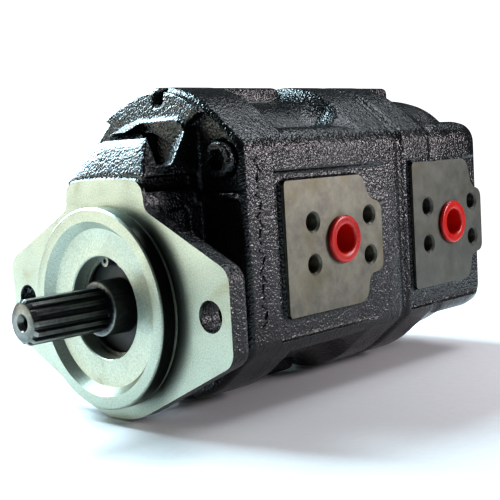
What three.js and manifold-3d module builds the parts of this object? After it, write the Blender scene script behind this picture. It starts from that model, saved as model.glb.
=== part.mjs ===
// Tandem external gear pump with a two-bolt mounting flange and a splined input shaft.
//
// Millimetres, +Z up. The origin is where the shaft axis meets the mounting face. The shaft points
// to -Y and the two pumping sections follow along +Y. The outlet ports face +X, the inlet ports -X,
// and in each section the driven gear lies above the drive gear.

import * as THREE from "three";
import { mergeVertices } from "three/addons/utils/BufferGeometryUtils.js";
import Module from "manifold-3d";

const wasm = await Module();
wasm.setup();

// ---- Driving dimensions ----

const GAP = 0.3; // clearance between pieces that touch

// Mounting flange and pilot
const PILOT_RADIUS = 50.8;
const PILOT_HEIGHT = 9.5;
const FLANGE_THICKNESS = 12;
const FLANGE_ROUND = 57.5; // radius of the round bottom, which the sloping edges touch
const FLANGE_SLOPE = THREE.MathUtils.degToRad(63.5); // direction that the upper sloping edge faces
const EAR_REACH = 86.3;
const EAR_CORNER = 9;
const MOUNT_HOLE_X = 73;
const MOUNT_HOLE_RADIUS = 7.15;
const TAB_HALF_WIDTH = 31;
const TAB_TOP = 64;

// Castings: one outline with rounded corners round the four tie bolts and a large arch on top
const BODY_Z = 26.5;
const HALF_WIDTH = 60.2;
const CORNER_RADIUS = 12;
const CORNER_RISE = 46.5; // height of a corner centre over BODY_Z
const ARCH_RADIUS = 64;
const ARCH_RISE = 19;
const BARREL_RADIUS = 51; // the relieved middle of a gear housing follows the gear bore
const BARREL_RISE = 23.5;
const BOLT_X = 47.5;
const BOLT_RISE = 44;

// Stations along the pump
const PLATE_FRONT = 39;
const SEAM_1 = 61;
const SEAM_2 = 168;
const REAR_END = 256;
const PORT_Y = [113.1, 217.7];
const PORT_Z = 24;

// Gears
const CENTRE_DISTANCE = 50;
const TEETH = 12;
const PRESSURE_ANGLE = THREE.MathUtils.degToRad(25);
const PITCH_RADIUS = CENTRE_DISTANCE / 2;
const TIP_RADIUS = 28.9;
const ROOT_RADIUS = 20.2;
const TOOTH_THINNING = 0.35;
const GEAR_BORE = 29.4;
const GEAR_WIDTH = [36, 28];
const CHAMBER = [[SEAM_1, 157], [SEAM_2, 247]]; // start and end of each gear chamber

// Shafts, bushes and blocks
const JOURNAL_RADIUS = 14;
const BUSH_OUTER = 16.7;
const BUSH_INNER = 14.3;
const BLOCK_BORE = 17;
const BLOCK_RADIUS = 29.1;
const SHAFT_END = -52.1;
const SPLINE_TEETH = 13;
const SPLINE_OUTER = 11.1;
const SPLINE_ROOT = 9.5;
const COLLAR_FRONT = -8;
const LINK_OUTER = 8.4; // the splined link shaft between the two sections
const LINK_ROOT = 7.2;
const LINK_TEETH = 10;
const LINK_SPAN = [141, 188];

// Ports: half spacings of the four-bolt patterns, bore and thread radii
const OUTLET = { side: 1, bore: 9.5, boltY: 23.8, boltZ: 11.1, thread: 4.6, flange: 12.9 };
const INLET = { side: -1, bore: 16, boltY: 29.35, boltZ: 15.1, thread: 5.4, flange: 20 };
const PORT_START = 12; // the port bores begin this far from the centre plane, inside the gear chamber
const PAD_PROUD = 3;
const PLUG_PROUD = 2.6;
const PLUG_DEPTH = 15;
const THREAD_DEPTH = 20;

// Tie bolts and dowels
const BOLT_HOLE = 6.4;
const BOLT_HEAD = { radius: 9, front: 34, rear: 43.2 };
const BOLT_TIP = 200;
const SPOT_FACE = { radius: 10.6, depth: 46 };
const DOWEL_RADIUS = 4;
const DOWEL_HALF_LENGTH = 9.5;
const DOWELS = [[-46, 44], [46, 8]];

// Hood and neck of the front cover, between the flange and the rear plate
const HOOD_SLOPE = [
  [2, 30], [2, 65], [5, 74], [8, 79.5], [11.5, 83.5], [20, 87.5], [31, 92], [41, 95], [41, 30],
];
const HOOD_EDGE = [[30, 30], [30, 64], [28, 72], [26, 79], [23, 85], [17, 89.5], [8, 92.5], [0, 93.5]];
const NECK_REAR = 25; // the neck is as wide as the tab up to here, then narrow beside the bolts
const SLOT_HALF_WIDTH = 3;

// Shaft seal, its housing bore and its retaining ring
const SEAL_BORE = 26;
const SEAL_SPAN = [6.6, 14.6];
const RING_SPAN = [3.3, 4.7];
const RING_GROOVE = { radius: 27.5, span: [3, 5] };
const JOINT_SEAL = { inner: 33.6, outer: 36.4, depth: 2.4 };

// ---- Solids ----

/** Turns closed three.js geometry into a solid for joining and cutting. */
function solid(geometry) {
  const bare = geometry.clone();
  for (const name of Object.keys(bare.attributes)) {
    if (name !== "position") bare.deleteAttribute(name);
  }
  const merged = mergeVertices(bare, 1e-4);
  return new wasm.Manifold(new wasm.Mesh({
    numProp: 3,
    vertProperties: new Float32Array(merged.attributes.position.array),
    triVerts: new Uint32Array(merged.index.array),
  }));
}

/** Turns a solid back into three.js geometry. */
function geometryOf(body) {
  const mesh = body.getMesh();
  const geometry = new THREE.BufferGeometry();
  geometry.setAttribute("position", new THREE.BufferAttribute(mesh.vertProperties, 3));
  geometry.setIndex(new THREE.BufferAttribute(mesh.triVerts, 1));
  geometry.computeVertexNormals();
  return geometry;
}

const join = (bodies) => bodies.reduce((whole, body) => whole.add(body));
const cut = (body, tools) => tools.reduce((rest, tool) => rest.subtract(tool), body);

/** A rod along Y between two stations. */
function rodY(radius, y0, y1, x = 0, z = 0, sides = 18) {
  const geometry = new THREE.CylinderGeometry(radius, radius, y1 - y0, sides);
  return solid(geometry.translate(x, (y0 + y1) / 2, z));
}

/** A rod along X between two stations. */
function rodX(radius, x0, x1, y, z, sides = 12) {
  const geometry = new THREE.CylinderGeometry(radius, radius, x1 - x0, sides);
  return solid(geometry.rotateZ(Math.PI / 2).translate((x0 + x1) / 2, y, z));
}

function block(x0, x1, y0, y1, z0, z1) {
  const geometry = new THREE.BoxGeometry(x1 - x0, y1 - y0, z1 - z0);
  return solid(geometry.translate((x0 + x1) / 2, (y0 + y1) / 2, (z0 + z1) / 2));
}

/** An outline in the x, z plane drawn out along Y. */
function prismY(shape, y0, y1, curveSegments = 8) {
  const geometry = new THREE.ExtrudeGeometry(shape, { depth: y1 - y0, bevelEnabled: false, curveSegments });
  return solid(geometry.rotateX(Math.PI / 2).translate(0, y1, 0));
}

/** An outline in the y, z plane drawn out along X. */
function prismX(shape, x0, x1, curveSegments = 8) {
  const geometry = new THREE.ExtrudeGeometry(shape, { depth: x1 - x0, bevelEnabled: false, curveSegments });
  return solid(geometry.rotateX(Math.PI / 2).rotateZ(Math.PI / 2).translate(x0, 0, 0));
}

/** A turned piece on the Y axis from [radius, y] pairs, which start and end on the axis or close. */
function turned(profile, sides = 24) {
  const points = profile.map(([radius, y]) => new THREE.Vector2(radius, y));
  return solid(new THREE.LatheGeometry(points, sides));
}

/** A shape through [x, z] pairs. */
function polygon(points) {
  return new THREE.Shape(points.map(([x, z]) => new THREE.Vector2(x, z)));
}

// ---- Casting outline ----

/** One quarter of the outline, from the side up to the crest, measured from the body centre. */
function quarterOutline(waisted) {
  const cornerX = HALF_WIDTH - CORNER_RADIUS;
  const rise = CORNER_RISE - ARCH_RISE;
  const tangent = Math.atan2(rise, cornerX)
    + Math.acos((ARCH_RADIUS - CORNER_RADIUS) / Math.hypot(cornerX, rise));
  const ledge = Math.asin((CORNER_RISE + CORNER_RADIUS - BARREL_RISE) / BARREL_RADIUS);
  const arc = (x, z, radius, from, to, steps) => Array.from({ length: steps + 1 }, (_, i) => {
    const angle = from + (to - from) * i / steps;
    return [x + radius * Math.cos(angle), z + radius * Math.sin(angle)];
  });
  const corner = arc(cornerX, CORNER_RISE, CORNER_RADIUS, 0, waisted ? Math.PI / 2 : tangent, 4);
  const crest = waisted
    ? arc(0, BARREL_RISE, BARREL_RADIUS, ledge, Math.PI / 2, 5)
    : arc(0, ARCH_RISE, ARCH_RADIUS, tangent, Math.PI / 2, 5);
  return [...corner, ...crest];
}

/** The closed outline, drawn in by an inset, as [x, z] pairs from the +X side over the top. */
function outline(waisted, inset = 0) {
  const quarter = quarterOutline(waisted);
  const half = [...quarter, ...quarter.slice(0, -1).reverse().map(([x, z]) => [-x, z])];
  const top = quarter[quarter.length - 1][1];
  return [...half, ...half.map(([x, z]) => [-x, -z])].map(([x, z]) => [
    x * (1 - inset / HALF_WIDTH),
    z * (1 - inset / top) + BODY_Z,
  ]);
}

/** A casting through outlines at stations along Y. */
function loft(stations) {
  const ring = stations[0].points.length;
  const position = stations.flatMap(({ y, points }) => points.flatMap(([x, z]) => [x, y, z]));
  const index = [];
  for (let station = 0; station < stations.length - 1; station += 1) {
    for (let i = 0; i < ring; i += 1) {
      const near = station * ring + i;
      const next = station * ring + (i + 1) % ring;
      index.push(near, near + ring, next, next, near + ring, next + ring);
    }
  }
  const last = (stations.length - 1) * ring;
  const cap = (points) => {
    const contour = points.map(([x, z]) => new THREE.Vector2(x, z));
    return THREE.ShapeUtils.triangulateShape(contour, []);
  };
  for (const [a, b, c] of cap(stations[0].points)) index.push(a, b, c);
  for (const [a, b, c] of cap(stations[stations.length - 1].points)) index.push(last + a, last + c, last + b);
  const geometry = new THREE.BufferGeometry();
  geometry.setAttribute("position", new THREE.BufferAttribute(new Float32Array(position), 3));
  geometry.setIndex(index);
  return solid(geometry);
}

const station = (y, waisted = false, inset = 0) => ({ y, points: outline(waisted, inset) });

/** Signs of the four tie-bolt corners. */
const CORNERS = [[1, 1], [-1, 1], [-1, -1], [1, -1]];
const boltAt = ([sideX, sideZ]) => [sideX * BOLT_X, BODY_Z + sideZ * BOLT_RISE];

// ---- Shared inner shapes ----

/** Two circles on the gear axes, joined: the gear chamber, and the blocks in it. */
function twinBore(radius, y0, y1) {
  return rodY(radius, y0, y1, 0, 0, 24).add(rodY(radius, y0, y1, 0, CENTRE_DISTANCE, 24));
}

/** A closed racetrack band round both gear axes, for the joint seals and their grooves. */
function racetrack(inner, outer, y0, y1) {
  const track = (radius) => {
    const path = new THREE.Path();
    path.absarc(0, 0, radius, Math.PI, 0, false);
    path.absarc(0, CENTRE_DISTANCE, radius, 0, Math.PI, false);
    return path;
  };
  const shape = new THREE.Shape(track(outer).getPoints(9));
  shape.holes.push(new THREE.Path(track(inner).getPoints(9)));
  return prismY(shape, y0, y1);
}

/** A round hole with a lead-in chamfer, from a face on the port side into the casting. */
function tappedHole(port, face, y, z) {
  const chamfer = new THREE.CylinderGeometry(port.thread, port.thread + 1.2, 1.2, 12);
  chamfer.rotateZ(port.side * Math.PI / 2).translate(face - port.side * 0.6, y, z);
  const [x0, x1] = [face - port.side * THREAD_DEPTH, face + port.side].sort((a, b) => a - b);
  return rodX(port.thread, x0, x1, y, z).add(solid(chamfer));
}

/** The bore and the four threads of one port. */
function portTools(port, y) {
  const face = port.side * HALF_WIDTH;
  const [x0, x1] = [port.side * PORT_START, face + port.side].sort((a, b) => a - b);
  const holes = CORNERS.map(([sideY, sideZ]) => (
    tappedHole(port, face, y + sideY * port.boltY, PORT_Z + sideZ * port.boltZ)
  ));
  return [rodX(port.bore, x0, x1, y, PORT_Z, 32), ...holes];
}

/** The flat pad of an outlet port: a plate with a narrower tongue at its rear. */
function outletPad(y, reach, top) {
  const [low, rear, tongue, tongueLow, tongueTop, round] = [-12.8, 21, 34.5, 3, 43, 6];
  const shape = new THREE.Shape();
  shape.moveTo(y - reach, low);
  shape.lineTo(y + rear - round, low);
  shape.quadraticCurveTo(y + rear, low, y + rear, tongueLow - round);
  shape.quadraticCurveTo(y + rear, tongueLow, y + rear + round, tongueLow);
  shape.quadraticCurveTo(y + tongue, tongueLow, y + tongue, tongueLow + round);
  shape.lineTo(y + tongue, tongueTop - round);
  shape.quadraticCurveTo(y + tongue, tongueTop, y + rear + 2 * round, tongueTop + 1);
  shape.quadraticCurveTo(y + rear + 3, tongueTop + 4, y + rear + 1, top - round);
  shape.quadraticCurveTo(y + rear, top, y + rear - round, top);
  shape.lineTo(y - reach, top);
  return prismX(shape, HALF_WIDTH - 2 * PAD_PROUD, HALF_WIDTH, 4);
}

/** A gear housing's side is set back round its outlet pad, and runs out again behind it. */
function padSurround(y0, y1, run) {
  const [floor, above, low, high] = [HALF_WIDTH - PAD_PROUD, HALF_WIDTH + 1, -24, 63];
  const shape = polygon([[floor, y0], [above, y0], [above, y1 + run], [floor, y1]]);
  const geometry = new THREE.ExtrudeGeometry(shape, { depth: high - low, bevelEnabled: false });
  return solid(geometry.translate(0, 0, low));
}

// ---- Castings ----

function frontCover() {
  const flange = new THREE.Shape();
  const cornerX = EAR_REACH - EAR_CORNER;
  const cornerZ = (FLANGE_ROUND - EAR_CORNER - cornerX * Math.cos(FLANGE_SLOPE)) / Math.sin(FLANGE_SLOPE);
  const slopeAt = (x) => (FLANGE_ROUND - x * Math.cos(FLANGE_SLOPE)) / Math.sin(FLANGE_SLOPE);
  flange.absarc(0, 0, FLANGE_ROUND, FLANGE_SLOPE - Math.PI, -FLANGE_SLOPE, false);
  flange.absarc(cornerX, -cornerZ, EAR_CORNER, -FLANGE_SLOPE, 0, false);
  flange.absarc(cornerX, cornerZ, EAR_CORNER, 0, FLANGE_SLOPE, false);
  flange.lineTo(TAB_HALF_WIDTH + 3, slopeAt(TAB_HALF_WIDTH + 3));
  flange.quadraticCurveTo(TAB_HALF_WIDTH, slopeAt(TAB_HALF_WIDTH), TAB_HALF_WIDTH, TAB_TOP - 9);
  flange.quadraticCurveTo(TAB_HALF_WIDTH - 2, TAB_TOP - 1.5, TAB_HALF_WIDTH - 5, TAB_TOP - 1);
  flange.quadraticCurveTo(0, TAB_TOP + 1, 5 - TAB_HALF_WIDTH, TAB_TOP - 1);
  flange.quadraticCurveTo(2 - TAB_HALF_WIDTH, TAB_TOP - 1.5, -TAB_HALF_WIDTH, TAB_TOP - 9);
  flange.quadraticCurveTo(-TAB_HALF_WIDTH, slopeAt(TAB_HALF_WIDTH), -TAB_HALF_WIDTH - 3,
    slopeAt(TAB_HALF_WIDTH + 3));
  flange.absarc(-cornerX, cornerZ, EAR_CORNER, Math.PI - FLANGE_SLOPE, Math.PI, false);
  flange.absarc(-cornerX, -cornerZ, EAR_CORNER, Math.PI, Math.PI + FLANGE_SLOPE, false);

  const pilot = turned([
    [0, -PILOT_HEIGHT],
    [PILOT_RADIUS - 1, -PILOT_HEIGHT],
    [PILOT_RADIUS, 1 - PILOT_HEIGHT],
    [PILOT_RADIUS, 2],
    [0, 2],
  ], 40);

  // A hood rises from the tab to the rear plate: a sloping side profile inside a rounded arch.
  const arch = [...HOOD_EDGE, ...HOOD_EDGE.slice(0, -1).reverse().map(([x, z]) => [-x, z])];
  const hood = prismX(polygon(HOOD_SLOPE), -TAB_HALF_WIDTH, TAB_HALF_WIDTH)
    .intersect(prismY(polygon(arch), 0, PLATE_FRONT + 3));

  const intoPlate = PLATE_FRONT + 2;
  const neck = join([
    block(-TAB_HALF_WIDTH, TAB_HALF_WIDTH, 8, NECK_REAR, -44, 60),
    block(-20, 20, NECK_REAR - 5, intoPlate, -42, 80),
    rodY(45, 8, NECK_REAR - 3),
    rodY(38, NECK_REAR - 5, intoPlate),
  ]);
  const fan = polygon([[9, 77], [50, 102], [50, 120], [-50, 120], [-50, 102], [-9, 77]]);
  const raisedTop = prismY(fan, PLATE_FRONT - 6, intoPlate)
    .intersect(prismY(polygon(outline(false, 3)), PLATE_FRONT - 6, intoPlate));
  const ledges = [1, -1].map((side) => {
    const [x0, x1] = [side * 30, side * 58].sort((a, b) => a - b);
    return block(x0, x1, PLATE_FRONT - 3, intoPlate, 51, 54.5);
  });
  const plate = loft([
    station(PLATE_FRONT, false, 2),
    station(PLATE_FRONT + 1.5, false, 0.3),
    station(PLATE_FRONT + 4),
    station(SEAM_1 - 1.5),
    station(SEAM_1 - GAP / 2, false, 0.8),
  ]);
  const casting = join([
    prismY(flange, 0, FLANGE_THICKNESS, 6),
    pilot,
    hood,
    neck,
    raisedTop,
    plate,
    ...ledges,
  ]);

  const sidePockets = [1, -1].flatMap((side) => {
    const span = (inner, outer) => [side * inner, side * outer].sort((a, b) => a - b);
    return [
      block(...span(24, 40), 2.5, NECK_REAR + 5, 57.5, 64.5),
      block(...span(3, 40), 12, NECK_REAR + 6, 70, 86),
      block(...span(26, 40), FLANGE_THICKNESS, NECK_REAR + 5, 10, 49),
    ];
  });
  const mountHoles = [1, -1].map((side) => rodY(MOUNT_HOLE_RADIUS, -1, FLANGE_THICKNESS + 1,
    side * MOUNT_HOLE_X, 0, 24));
  const boltHoles = CORNERS.flatMap((corner) => {
    const [x, z] = boltAt(corner);
    return [
      rodY(BOLT_HOLE, PLATE_FRONT - 9, SEAM_1 + 1, x, z, 14),
      rodY(SPOT_FACE.radius, PLATE_FRONT - 9, SPOT_FACE.depth, x, z),
    ];
  });
  const clearance = JOURNAL_RADIUS + 2;
  const shaftBore = turned([
    [0, -PILOT_HEIGHT - 1],
    [44, -PILOT_HEIGHT - 1],
    [44, -PILOT_HEIGHT],
    [40, -4.5],
    [SEAL_BORE, -4.5],
    [SEAL_BORE, RING_GROOVE.span[0]],
    [RING_GROOVE.radius, RING_GROOVE.span[0]],
    [RING_GROOVE.radius, RING_GROOVE.span[1]],
    [SEAL_BORE, RING_GROOVE.span[1]],
    [SEAL_BORE, SEAL_SPAN[1] + 1.4],
    [clearance, SEAL_SPAN[1] + 2.4],
    [clearance, SEAM_1 + 1],
    [0, SEAM_1 + 1],
  ]);
  return cut(casting, [
    ...sidePockets,
    ...mountHoles,
    ...boltHoles,
    shaftBore,
    rodY(10, SEAM_1 - 4, SEAM_1 + 1, 0, CENTRE_DISTANCE, 16),
    block(-SLOT_HALF_WIDTH, SLOT_HALF_WIDTH, PLATE_FRONT - 8, PLATE_FRONT + 8, 100, 112),
    jointSealGroove(SEAM_1),
    ...dowelHoles(SEAM_1),
  ]);
}

/** Holes for the two dowels across a joint. */
function dowelHoles(seam) {
  const reach = DOWEL_HALF_LENGTH + 0.8;
  return DOWELS.map(([x, z]) => rodY(DOWEL_RADIUS + GAP, seam - reach, seam + reach, x, z, 12));
}

/** The groove in the face in front of a joint, a little wider and deeper than its seal. */
function jointSealGroove(seam) {
  return racetrack(JOINT_SEAL.inner - 0.4, JOINT_SEAL.outer + 0.4, seam - JOINT_SEAL.depth - 0.4, seam + 1);
}

/** The gear chamber and the ports of a gear housing. */
function housingTools(section) {
  const [start, end] = CHAMBER[section];
  return [
    twinBore(GEAR_BORE, start - 1, end),
    ...portTools(OUTLET, PORT_Y[section]),
    ...portTools(INLET, PORT_Y[section]),
  ];
}

/** On the inlet side the full outline runs on over the relieved middle, up to a rounded end. */
function inletShoulder(y0, y1) {
  const full = loft([station(y0), station(y1 - 4), station(y1, false, 3)]);
  return full.intersect(block(-70, 2, y0, y1, -70, 130));
}

function frontGearHousing() {
  const casting = loft([
    station(SEAM_1 + GAP / 2, false, 0.8),
    station(SEAM_1 + 1.5),
    station(73),
    station(77, true),
    station(119, true),
    station(139),
    station(163.5),
    station(SEAM_2 - GAP / 2, false, 2.6),
  ]);
  const body = casting.add(inletShoulder(70, 131)).subtract(padSurround(SEAM_1 - 1, 126, 34));
  return cut(body.add(outletPad(PORT_Y[0], 45, 57.8)), [
    ...housingTools(0),
    rodY(LINK_OUTER + 3.6, CHAMBER[0][1] - 7, SEAM_2 + 1),
    ...CORNERS.map((corner) => rodY(BOLT_HOLE, SEAM_1 - 1, SEAM_2 + 1, ...boltAt(corner), 14)),
    jointSealGroove(SEAM_2),
    ...dowelHoles(SEAM_1),
    ...dowelHoles(SEAM_2),
  ]);
}

function rearGearHousing() {
  const casting = loft([
    station(SEAM_2 + GAP / 2, false, 2.6),
    station(172.5),
    station(197),
    station(199, false, 0.8),
    station(203, true),
    station(240, true),
    station(247, true, 2),
    station(252.5, true, 6),
    station(REAR_END, true, 12),
  ]);
  const body = casting.add(inletShoulder(190, 236)).subtract(padSurround(174, REAR_END + 2, 0));
  return cut(body.add(outletPad(PORT_Y[1], 38.5, 61.5)), [
    ...housingTools(1),
    ...CORNERS.map((corner) => rodY(BOLT_HOLE, SEAM_2 - 1, BOLT_TIP + 2, ...boltAt(corner), 14)),
    ...dowelHoles(SEAM_2),
  ]);
}

// ---- Gears and shafts ----

/** Outline of a straight-toothed gear with involute flanks; a tooth points along the given angle. */
function gearShape(angle) {
  const base = PITCH_RADIUS * Math.cos(PRESSURE_ANGLE);
  const involute = (x) => Math.tan(x) - x;
  const halfPitch = (Math.PI * PITCH_RADIUS / TEETH - TOOTH_THINNING) / (2 * PITCH_RADIUS);
  const halfAngle = (radius) => (
    halfPitch + involute(PRESSURE_ANGLE) - involute(Math.acos(Math.min(1, base / radius)))
  );
  const flank = [ROOT_RADIUS, base, 24.6, 27, TIP_RADIUS];
  const points = [];
  for (let tooth = 0; tooth < TEETH; tooth += 1) {
    const middle = angle + 2 * Math.PI * tooth / TEETH;
    const put = (radius, turn) => points.push([radius * Math.cos(turn), radius * Math.sin(turn)]);
    flank.forEach((radius) => put(radius, middle - halfAngle(radius)));
    flank.toReversed().forEach((radius) => put(radius, middle + halfAngle(radius)));
  }
  return polygon(points);
}

/** Outline of a splined shaft or bore with square-sided teeth. */
function splineShape(teeth, outer, root) {
  const points = [];
  for (let i = 0; i < teeth; i += 1) {
    const pitch = 2 * Math.PI / teeth;
    for (const [radius, share] of [[root, -0.32], [outer, -0.2], [outer, 0.2], [root, 0.32]]) {
      const turn = pitch * (i + share);
      points.push([radius * Math.cos(turn), radius * Math.sin(turn)]);
    }
  }
  return polygon(points);
}

/** Start and end of a section's gears, in the middle of their chamber. */
function gearSpan(section) {
  const [start, end] = CHAMBER[section];
  const middle = (start + end) / 2;
  return [middle - GEAR_WIDTH[section] / 2, middle + GEAR_WIDTH[section] / 2];
}

/** A gear with its journals on the Y axis. */
function gearShaft(section, angle) {
  const [start, end] = CHAMBER[section];
  return prismY(gearShape(angle), ...gearSpan(section)).add(rodY(JOURNAL_RADIUS, start + 1, end - 1));
}

const drivePhase = Math.PI / 2; // a tooth of the drive gear points up, at a gap of the driven gear
const drivenPhase = -Math.PI / 2 + Math.PI / TEETH;
const linkBore = () => prismY(splineShape(LINK_TEETH, LINK_OUTER + GAP, LINK_ROOT + GAP),
  LINK_SPAN[0] - GAP, LINK_SPAN[1] + GAP);

function inputShaft() {
  const nose = turned([
    [0, SHAFT_END],
    [SPLINE_OUTER - 1.6, SHAFT_END],
    [SPLINE_OUTER + 0.2, SHAFT_END + 1.8],
    [SPLINE_OUTER + 0.2, COLLAR_FRONT],
    [0, COLLAR_FRONT],
  ]);
  const spline = prismY(splineShape(SPLINE_TEETH, SPLINE_OUTER, SPLINE_ROOT), SHAFT_END, COLLAR_FRONT);
  const centreHole = turned([
    [0, SHAFT_END - 1],
    [4.2, SHAFT_END - 1],
    [4.2, SHAFT_END],
    [2.6, SHAFT_END + 2.4],
    [2.6, SHAFT_END + 9],
    [0, SHAFT_END + 11],
  ], 14);
  const collar = turned([
    [0, COLLAR_FRONT - 1],
    [SPLINE_ROOT - 0.5, COLLAR_FRONT - 1],
    [SPLINE_ROOT - 0.5, COLLAR_FRONT],
    [JOURNAL_RADIUS - 1, COLLAR_FRONT],
    [JOURNAL_RADIUS, COLLAR_FRONT + 1],
    [JOURNAL_RADIUS, SEAM_1 + 2],
    [0, SEAM_1 + 2],
  ], 24);
  const shaft = join([spline.intersect(nose), collar, gearShaft(0, drivePhase)]);
  return cut(shaft, [centreHole, linkBore()]);
}

function linkShaft() {
  return prismY(splineShape(LINK_TEETH, LINK_OUTER, LINK_ROOT), ...LINK_SPAN);
}

function rearDriveGear() {
  return gearShaft(1, drivePhase).subtract(linkBore());
}

// ---- Blocks, bushes and seals ----

/** Start and end of one of the two bearing blocks of a section. */
function blockSpan(section, end) {
  const [gearStart, gearEnd] = gearSpan(section);
  const [start, stop] = CHAMBER[section];
  return end === 0 ? [start + GAP, gearStart - GAP] : [gearEnd + GAP, stop - GAP];
}

/** Centre line of the pressure seal round the outlet side of a block, as [x, z] pairs. */
function pressureSealPath() {
  const radius = 23;
  const [open, meet] = [THREE.MathUtils.degToRad(100), THREE.MathUtils.degToRad(58)];
  const lower = new THREE.Path().absarc(0, 0, radius, -open, meet, false).getPoints(5);
  return [
    ...lower.map(({ x, y }) => [x, y]),
    ...lower.toReversed().map(({ x, y }) => [x, CENTRE_DISTANCE - y]),
  ];
}

/** A band of even width along a centre line. */
function ribbon(path, width) {
  const edge = (side) => path.map(([x, z], i) => {
    const [x0, z0] = path[Math.max(0, i - 1)];
    const [x1, z1] = path[Math.min(path.length - 1, i + 1)];
    const length = Math.hypot(x1 - x0, z1 - z0);
    return [x + side * width / 2 * (z1 - z0) / length, z - side * width / 2 * (x1 - x0) / length];
  });
  return polygon([...edge(1), ...edge(-1).reverse()]);
}

function bearingBlock(section, end) {
  const [start, stop] = blockSpan(section, end);
  const groove = end === 0 ? [start - 1, start + 2.4] : [stop - 2.4, stop + 1];
  return cut(twinBore(BLOCK_RADIUS, start, stop), [
    rodY(BLOCK_BORE, start - 1, stop + 1),
    rodY(BLOCK_BORE, start - 1, stop + 1, 0, CENTRE_DISTANCE),
    prismY(ribbon(pressureSealPath(), 3), ...groove),
  ]);
}

function blockSeal(section, end) {
  const [start, stop] = blockSpan(section, end);
  const span = end === 0 ? [start, start + 2.1] : [stop - 2.1, stop];
  return prismY(ribbon(pressureSealPath(), 2.4), ...span);
}

function bush(section, end, z) {
  const [start, stop] = blockSpan(section, end);
  return rodY(BUSH_OUTER, start + 0.5, stop - 0.5, 0, z).subtract(rodY(BUSH_INNER, start, stop, 0, z));
}

/** The lip seal: a stiff outer cup with a thin lip on the shaft, open towards the oil. */
function shaftSeal() {
  const [front, rear] = SEAL_SPAN;
  const [lip, outer, web] = [JOURNAL_RADIUS + GAP, SEAL_BORE - GAP, 2.2];
  return turned([
    [lip, front],
    [outer, front],
    [outer, rear],
    [outer - web, rear],
    [outer - web, front + web],
    [lip + 4.7, front + web],
    [lip + 1.8, front + web + 1.6],
    [lip + 1.8, rear - 1.2],
    [lip, rear - 2.2],
    [lip, front],
  ]);
}

/** The coil spring that presses the lip, as a plain ring. */
function lipSpring() {
  const coil = new THREE.TorusGeometry(JOURNAL_RADIUS + 3.2, 0.7, 4, 20);
  return solid(coil.rotateX(Math.PI / 2).translate(0, SEAL_SPAN[1] - 2.4, 0));
}

/** The sprung ring in the groove in front of the seal, open at the top between two eyes. */
function retainingRing() {
  const [y0, y1] = RING_SPAN;
  const opening = THREE.MathUtils.degToRad(11);
  const [from, to] = [Math.PI / 2 + opening, Math.PI * 2.5 - opening];
  const shape = new THREE.Shape();
  shape.absarc(0, 0, RING_GROOVE.radius - 0.4, from, to, false);
  shape.absarc(0, 0, SEAL_BORE - 2, to, from, true);
  const eyes = [1, -1].map((side) => rodY(3, y0, y1, side * 6.4, 22.6, 12));
  const holes = [1, -1].map((side) => rodY(1.3, y0 - 1, y1 + 1, side * 6.4, 22.6, 8));
  return cut(join([prismY(shape, y0, y1, 14), ...eyes]), holes);
}

// ---- Fasteners and plugs ----

/** A socket-head screw through all three castings. */
function tieBolt(corner) {
  const [x, z] = boltAt(corner);
  const { radius, front, rear } = BOLT_HEAD;
  const shank = BOLT_HOLE - 0.4;
  const hex = new THREE.CylinderGeometry(5.8, 5.8, 7, 6).translate(x, front + 2.5, z);
  const screw = turned([
    [0, front],
    [radius - 1, front],
    [radius, front + 1],
    [radius, rear],
    [shank, rear],
    [shank, BOLT_TIP - 1],
    [shank - 1, BOLT_TIP],
    [0, BOLT_TIP],
  ], 16);
  return screw.translate([x, 0, z]).subtract(solid(hex));
}

function tieBoltWasher(corner) {
  const [x, z] = boltAt(corner);
  const [front, rear] = [BOLT_HEAD.rear + GAP, SPOT_FACE.depth - GAP];
  return rodY(SPOT_FACE.radius - 0.6, front, rear, x, z, 16)
    .subtract(rodY(BOLT_HOLE + 0.1, front - 1, rear + 1, x, z, 12));
}

/** A cup-shaped shipping plug; its rim lies on the port face. */
function portPlug(port) {
  const stem = port.bore - GAP;
  const mouth = port.bore - 1.6;
  const cup = turned([
    [0, -PLUG_DEPTH],
    [stem - 1, -PLUG_DEPTH],
    [stem, 2 - PLUG_DEPTH],
    [stem, GAP],
    [port.flange, GAP],
    [port.flange, PLUG_PROUD - 0.8],
    [port.flange - 0.8, PLUG_PROUD],
    [mouth + 1.4, PLUG_PROUD],
    [mouth, PLUG_PROUD - 1.6],
    [mouth - 0.6, 2 - PLUG_DEPTH],
    [0, 2 - PLUG_DEPTH],
  ], 20);
  return geometryOf(cup).rotateZ(-port.side * Math.PI / 2);
}

// ---- Assembly ----

const finish = (color, roughness, metalness) => ({ color, roughness, metalness });
const BLACK_CASTING = finish(0x14161a, 0.42, 0.2);
const GROUND_STEEL = finish(0xb9bdc0, 0.28, 1);
const BLACK_STEEL = finish(0x26292c, 0.45, 0.8);
const ALUMINIUM = finish(0xc9ccd0, 0.4, 1);
const BRONZE = finish(0xa9743a, 0.38, 1);
const RUBBER = finish(0x191919, 0.7, 0);
const RED_PLASTIC = finish(0xd42a1e, 0.35, 0);

const pump = new THREE.Group();

function place(name, piece, look) {
  const geometry = piece.isBufferGeometry ? piece : geometryOf(piece);
  const mesh = new THREE.Mesh(geometry, new THREE.MeshStandardMaterial({ ...look, flatShading: true }));
  mesh.name = name;
  pump.add(mesh);
  return mesh;
}

place("front_cover", frontCover(), BLACK_CASTING);
place("front_gear_housing", frontGearHousing(), BLACK_CASTING);
place("rear_gear_housing", rearGearHousing(), BLACK_CASTING);

place("input_gear_shaft", inputShaft(), BLACK_STEEL);
place("link_shaft", linkShaft(), BLACK_STEEL);
place("rear_drive_gear", rearDriveGear(), GROUND_STEEL);

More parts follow.
